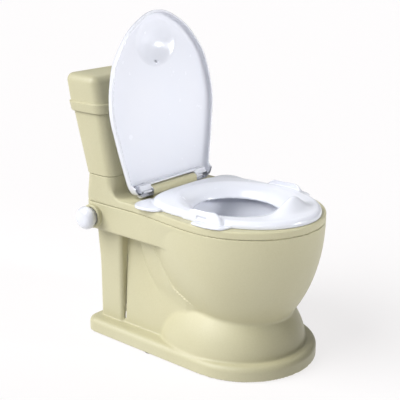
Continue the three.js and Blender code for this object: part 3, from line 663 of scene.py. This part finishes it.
def build_tank(material):
    tall = TANK_HIGH - TANK_LOW
    half, front, rear = tank_section(TANK_SEAM)
    rings = []
    # the rim of the open foot, from the inside out
    for z, inset in ((TANK_LOW + 8, 7.3), (TANK_LOW + 7.2, 6.7), (TANK_LOW + 0.4, 6.7), (TANK_LOW, 6.3)):
        rings.append(box_ring(half - inset, front + inset, rear - inset, 8, z))

    def add(z, inset, radius=14.0):
        half, front, rear = tank_section(z)
        rings.append(box_ring(half - inset, front + inset, rear - inset, max(radius - inset, 2), z))

    for inset, drop in reversed(list(arc(0.9, 4))):
        add(TANK_LOW + drop, inset)
    for share in (0.02, 0.2, 0.4, 0.6, 0.8, 0.98):
        add(TANK_LOW + tall * share, 0)
    for inset, drop in arc(0.8, 4):
        add(TANK_HIGH - drop, inset)
    add(TANK_HIGH, 2.6)
    add(TANK_HIGH - 0.8, 3.2)
    # down the inside to the compartment's floor
    for share in (0.96, 0.6, 0.2):
        add(TANK_LOW + 11 + (tall - 12) * share, 3.2)
    add(TANK_LOW + 13, 4.2)
    add(TANK_LOW + 11.2, 8)
    crease(make_object("tank_body_moulding", *stack(rings), "tank", material, ["tank_body"], "green_plastic"))


def build_cover(material):
    top, band = 430.0, 388.0  # the band ends at 388, where the cover steps in
    start = TANK_HIGH + 0.3
    lip = TANK_HIGH + 2.8
    rings = []

    def add(z, extra, radius=17.0):
        shift = 0.2 * (z - TANK_HIGH)
        front, rear = 132.5 - extra + shift, 199.5 + extra + shift
        rings.append(box_ring(109.5 + extra, front, rear, max(radius + extra - 4.5, 3), z, 9))

    # the inside, from the middle of its roof down to the band's lower edge
    for z, extra in ((top - 4, -26), (top - 4, -14), (top - 7, -6), (top - 14, -1.9), (band + 6, -1.5),
                     (TANK_HIGH + 6, -1.5), (TANK_HIGH + 5.8, -6.5), (COVER_LOW + 0.5, -6.5),
                     (COVER_LOW, -6.0), (COVER_LOW, -5.1), (COVER_LOW + 0.5, -4.6), (lip, -4.6),
                     (lip, 1.4), (start, 1.8)):
        add(z, extra)
    for inset, drop in reversed(list(arc(1.4, 5))):
        add(start + drop, 3.6 - inset)
    add(band - 3.2, 4.5)
    for inset, drop in arc(1.3, 5):
        add(band - drop - 0.9, 4.5 - inset)
    for a in np.linspace(0, math.pi / 2, 5)[1:]:
        add(band - 0.9 + 1.1 * (1 - math.cos(a)), 3.2 - 1.2 * math.sin(a))
    add(band + 8, 2.0)
    add(band + 18, 2.0)
    for inset, drop in arc(13.0, 9):
        add(top - drop, 2.0 - inset)
    add(top + 0.4, -12)
    add(top + 0.5, -26)
    crease(make_object("tank_cover_moulding", *stack(rings), "tank_cover", material, ["tank_cover"],
                       "green_plastic"))


def build_pot(material):
    rim = DECK_TOP + 2.7
    floor = rim - POT_DEPTH
    rings = []

    def floor_ring(scale, z):
        rings.append(ellipse_ring(POT_HALF * scale, POT_LENGTH * scale, POT_CENTRE, z))

    def side_ring(share, t):
        """A ring of the side. share runs from the floor to the rim, and t is how far it lies outside."""
        scale = 0.5 + 0.5 * math.sin(math.pi / 2 * share) ** 0.8
        z = rim - (POT_DEPTH + t) * (1 - share)
        rings.append(ellipse_ring(POT_HALF * scale + t, POT_LENGTH * scale + t, POT_CENTRE, z))

    shares = np.linspace(0, 1, 15)[1:-1]
    scales = (0.05, 0.3, 0.44)
    for scale in scales:
        floor_ring(scale, floor - POT_WALL)
    for share in shares:
        side_ring(share, POT_WALL)
    flange = ((2.3, 3.2), (3.0, POT_FLANGE_THICK), (POT_FLANGE - 0.5, POT_FLANGE_THICK), (POT_FLANGE, 2),
              (POT_FLANGE, 0.8), (POT_FLANGE - 1, 0), (1.4, 0), (0.4, 0.6), (0, 2))
    for extra, drop in flange:
        rings.append(ellipse_ring(POT_HALF + extra, POT_LENGTH + extra, POT_CENTRE, rim - drop))
    for share in shares[::-1]:
        side_ring(share, 0.0)
    for scale in scales[::-1]:
        floor_ring(scale, floor)
    crease(make_object("pot_moulding", *stack(rings), "pot", material, ["pot"], "white_plastic"), 50)


def build_knob(material):
    """The cap, a flattened ball with a spigot behind it that slides in the boss."""
    spigot = SPIGOT_RADIUS
    profile = [(0.6, -7.5), (spigot - 0.6, -7.5), (spigot, -6.9), (spigot, -0.4), (spigot + 0.4, 0)]
    for share, along in ((0.86, 0.0), (0.9, 0.02), (0.96, 0.13), (0.99, 0.22), (1, 0.32), (0.995, 0.42),
                         (0.975, 0.52), (0.93, 0.63), (0.86, 0.74), (0.75, 0.84), (0.6, 0.92), (0.42, 0.965),
                         (0.22, 0.99), (0.03, 1)):
        profile.append((KNOB_RADIUS * share, KNOB_THICK * along))
    rings = [turned_ring(radius, -KNOB_BACK - out) for radius, out in profile]
    made = make_object("flush_knob_cap", *stack(rings), "knob", material, ["flush_knob"], "white_plastic")
    crease(made, 50)


def build_foot(index, place, material):
    rings = [round_ring(place, FOOT_RADIUS - inset, drop) for inset, drop in reversed(list(arc(1.2, 4)))]
    rings += [round_ring(place, FOOT_RADIUS, 4.2), round_ring(place, FOOT_RADIUS - 0.3, 4.7)]
    crease(make_object(f"foot_pad_{index}", *stack(rings), "base", material, [f"foot_{index}"], "rubber"))


# ------------------------------------------------------------------ materials
def linear(red, green, blue):
    """A colour given as 0 to 255, as the shader's linear values."""
    return [((c / 255 + 0.055) / 1.055) ** 2.4 for c in (red, green, blue)] + [1]


def moulded(name, colour, pale, deep, rough, grain, uneven=0.12, coat=0.0, metal=0.0):
    """Plastic, rubber or metal with patches of tone, a painted highlight along sharp convex edges, grain and
    uneven gloss.
    """
    material = bpy.data.materials.new(name)
    material.use_nodes = True
    tree = material.node_tree
    add, join = tree.nodes.new, tree.links.new
    shader = tree.nodes["Principled BSDF"]
    shader.inputs["Metallic"].default_value = metal
    shader.inputs["Coat Weight"].default_value = coat
    shader.inputs["Coat Roughness"].default_value = 0.12
    coords = add("ShaderNodeTexCoord")

    def noise(scale, detail):
        node = add("ShaderNodeTexNoise")
        node.inputs["Scale"].default_value = scale
        node.inputs["Detail"].default_value = detail
        node.inputs["Roughness"].default_value = 0.55
        join(coords.outputs["Object"], node.inputs["Vector"])
        return node.outputs["Fac"]

    def ramp(source, low, high, first, last):
        node = add("ShaderNodeMapRange")
        for socket, value in zip(("From Min", "From Max", "To Min", "To Max"), (low, high, first, last)):
            node.inputs[socket].default_value = value
        join(source, node.inputs["Value"])
        return node.outputs["Result"]

    def mix(share, a, b):
        """a where share is 0 and b where it is 1. Each is a colour or a socket."""
        node = add("ShaderNodeMix")
        node.data_type = "RGBA"
        join(share, node.inputs["Factor"])
        for socket, value in ((node.inputs[6], a), (node.inputs[7], b)):
            if isinstance(value, list):
                socket.default_value = value
            else:
                join(value, socket)
        return node.outputs[2]

    def bump(height, strength, distance, before=None):
        node = add("ShaderNodeBump")
        node.inputs["Strength"].default_value = strength
        node.inputs["Distance"].default_value = distance
        join(height, node.inputs["Height"])
        if before is not None:
            join(before, node.inputs["Normal"])
        return node.outputs["Normal"]

    patches = mix(ramp(noise(9, 3), 0.3, 0.7, 0.0, 1.0), deep, colour)
    flecks = mix(ramp(noise(420, 2), 0.35, 0.65, 0.0, 1.5 * uneven), patches, pale)
    # painted highlight: sharp convex edges (high pointiness) are mixed towards the pale colour, standing in
    # for light catching the rounded edges
    highlight_pointiness = add("ShaderNodeNewGeometry").outputs["Pointiness"]
    edge = mix(ramp(highlight_pointiness, 0.54, 0.62, 0.0, 0.5), flecks, pale)
    join(edge, shader.inputs["Base Color"])
    join(ramp(noise(60, 4), 0.3, 0.7, rough - 0.05, rough + 0.06), shader.inputs["Roughness"])
    fine = bump(noise(1500, 2), grain, 0.0004)
    join(bump(noise(22, 2), uneven, 0.003, fine), shader.inputs["Normal"])
    return material


green = moulded(
    "green_satin", linear(191, 187, 156), linear(204, 200, 171), linear(188, 183, 150), 0.44, 0.35
)
white = moulded(
    "white_gloss", linear(220, 222, 230), linear(228, 229, 234), linear(217, 220, 229), 0.22, 0.06, 0.03, 0.3
)
rubber = moulded("grey_rubber", linear(60, 60, 58), linear(84, 84, 80), linear(48, 48, 46), 0.78, 0.6)
steel = moulded(
    "zinc_steel", linear(190, 194, 198), linear(214, 217, 220), linear(168, 172, 176), 0.34, 0.3, 0.1, 0.0, 1.0
)

# ------------------------------------------------------------------ pieces
# each is meshed between two corners, on a grid of the step given after them
make_from_field("base_moulding", base_field, (-120, -193, 0), (120, 184, 228), 2.4,
                "base", green, "base_shell", "green_plastic")
make_from_field("deck_moulding", deck_field, (-120, -193, 225), (120, 184, 283), 2.0,
                "base", green, "deck", "green_plastic")
make_from_field("seat_moulding", seat_field, (-122, -190, 227), (122, 70, 272), 1.6,
                "seat", white, "seat_ring", "white_plastic")
lid_turn = Matrix.Translation((0, HINGE_Y, HINGE_Z)) @ Matrix.Rotation(math.radians(90 - LID_LEAN), 4, "X")
make_from_field("lid_moulding", lid_field, (-118, -9, -30), (118, 277, 4), 1.6,
                "lid", white, "lid", "white_plastic", lid_turn)
build_tank(green)
build_cover(green)
build_pot(white)
build_knob(white)
for index, place in enumerate(FEET, 1):
    build_foot(index, place, rubber)

# small parts that keep the CAD's own shape
CARRIED = {
    "steel": (steel, ["hinge_pin_left", "hinge_pin_right", "stem_clip", "return_spring", "housing_screw_1",
                      "housing_screw_2", "deck_screw_1", "deck_screw_2", "deck_screw_3", "deck_screw_4"]),
    "rubber": (rubber, ["squeaker_bellows"]),
    "white_plastic": (white, ["squeaker_housing", "knob_stem"]),
}
for slot_name, (material, nodes) in CARRIED.items():
    for node in nodes:
        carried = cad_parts[node]
        carried.data.materials.clear()
        carried.data.materials.append(material)

# ------------------------------------------------------------------ floor, light and camera
FLOOR_REACH = 60
floor_material = bpy.data.materials.new("pale_floor")
floor_material.use_nodes = True
floor_shader = floor_material.node_tree.nodes["Principled BSDF"]
floor_shader.inputs["Base Color"].default_value = (0.2, 0.198, 0.198, 1)
floor_shader.inputs["Emission Color"].default_value = (1, 0.985, 0.99, 1)
floor_shader.inputs["Emission Strength"].default_value = 0.78
floor_shader.inputs["Roughness"].default_value = 0.9
floor_shader.inputs["Specular IOR Level"].default_value = 0.1
floor_mesh = bpy.data.meshes.new("floor")
floor_corners = [(sx * FLOOR_REACH, sy * FLOOR_REACH, 0) for sx, sy in ((-1, -1), (1, -1), (1, 1), (-1, 1))]
floor_mesh.from_pydata(floor_corners, [], [(0, 1, 2, 3)])
floor_mesh.materials.append(floor_material)
floor = bpy.data.objects.new("floor", floor_mesh)
bpy.context.scene.collection.objects.link(floor)

world = bpy.data.worlds.new("studio")
bpy.context.scene.world = world
world.use_nodes = True
world.node_tree.nodes["Background"].inputs["Color"].default_value = (1, 1, 1, 1)
world.node_tree.nodes["Background"].inputs["Strength"].default_value = 0.06


def lamp(name, kind, energy, toward):
    data = bpy.data.lights.new(name, kind)
    data.energy = energy
    made = bpy.data.objects.new(name, data)
    made.rotation_mode = "QUATERNION"
    made.rotation_quaternion = Vector(toward).to_track_quat("-Z", "Y")
    bpy.context.scene.collection.objects.link(made)
    return made


def sun(name, energy, toward, spread):
    lamp(name, "SUN", energy, toward).data.angle = math.radians(spread)


def spot(name, energy, at, aim, cone):
    """A soft-edged spotlight at one point, aimed at another."""
    made = lamp(name, "SPOT", energy, Vector(aim) - Vector(at))
    made.location = at
    made.data.spot_size = math.radians(cone)
    made.data.spot_blend = 0.6
    made.data.shadow_soft_size = 0.2


sun("key", 4.0, (0.66, -0.36, -0.70), 50)
sun("rim", 0.5, (-0.7, -0.3, -0.65), 60)
spot("lid_light", 112, (0.5, -1.6, 0.9), (0, 0.1, 0.38), 20)
spot("hole_light", 80, (-0.85, -0.75, 1.0), (0.01, HOLE_CENTRE * MM, 0.238), 6.5)

# the camera circles the target: azimuth 0 is straight in front, in degrees, and the rest is in metres
AZIMUTH, ELEVATION, DISTANCE = math.radians(-49.598), math.radians(17.204), 1.45741
TARGET = Vector((0.00378, 0.02786, 0.23035))
camera_data = bpy.data.cameras.new("camera")
camera_data.sensor_width = 36
camera_data.lens = 82.14
camera_data.clip_end = 200
camera = bpy.data.objects.new("camera", camera_data)
flat = math.cos(ELEVATION)
away = Vector((math.sin(AZIMUTH) * flat, -math.cos(AZIMUTH) * flat, math.sin(ELEVATION)))
camera.location = TARGET + away * DISTANCE
camera.rotation_mode = "QUATERNION"
camera.rotation_quaternion = (-away).to_track_quat("-Z", "Y")
bpy.context.scene.collection.objects.link(camera)
bpy.context.scene.camera = camera
bpy.context.scene.view_settings.view_transform = "Standard"
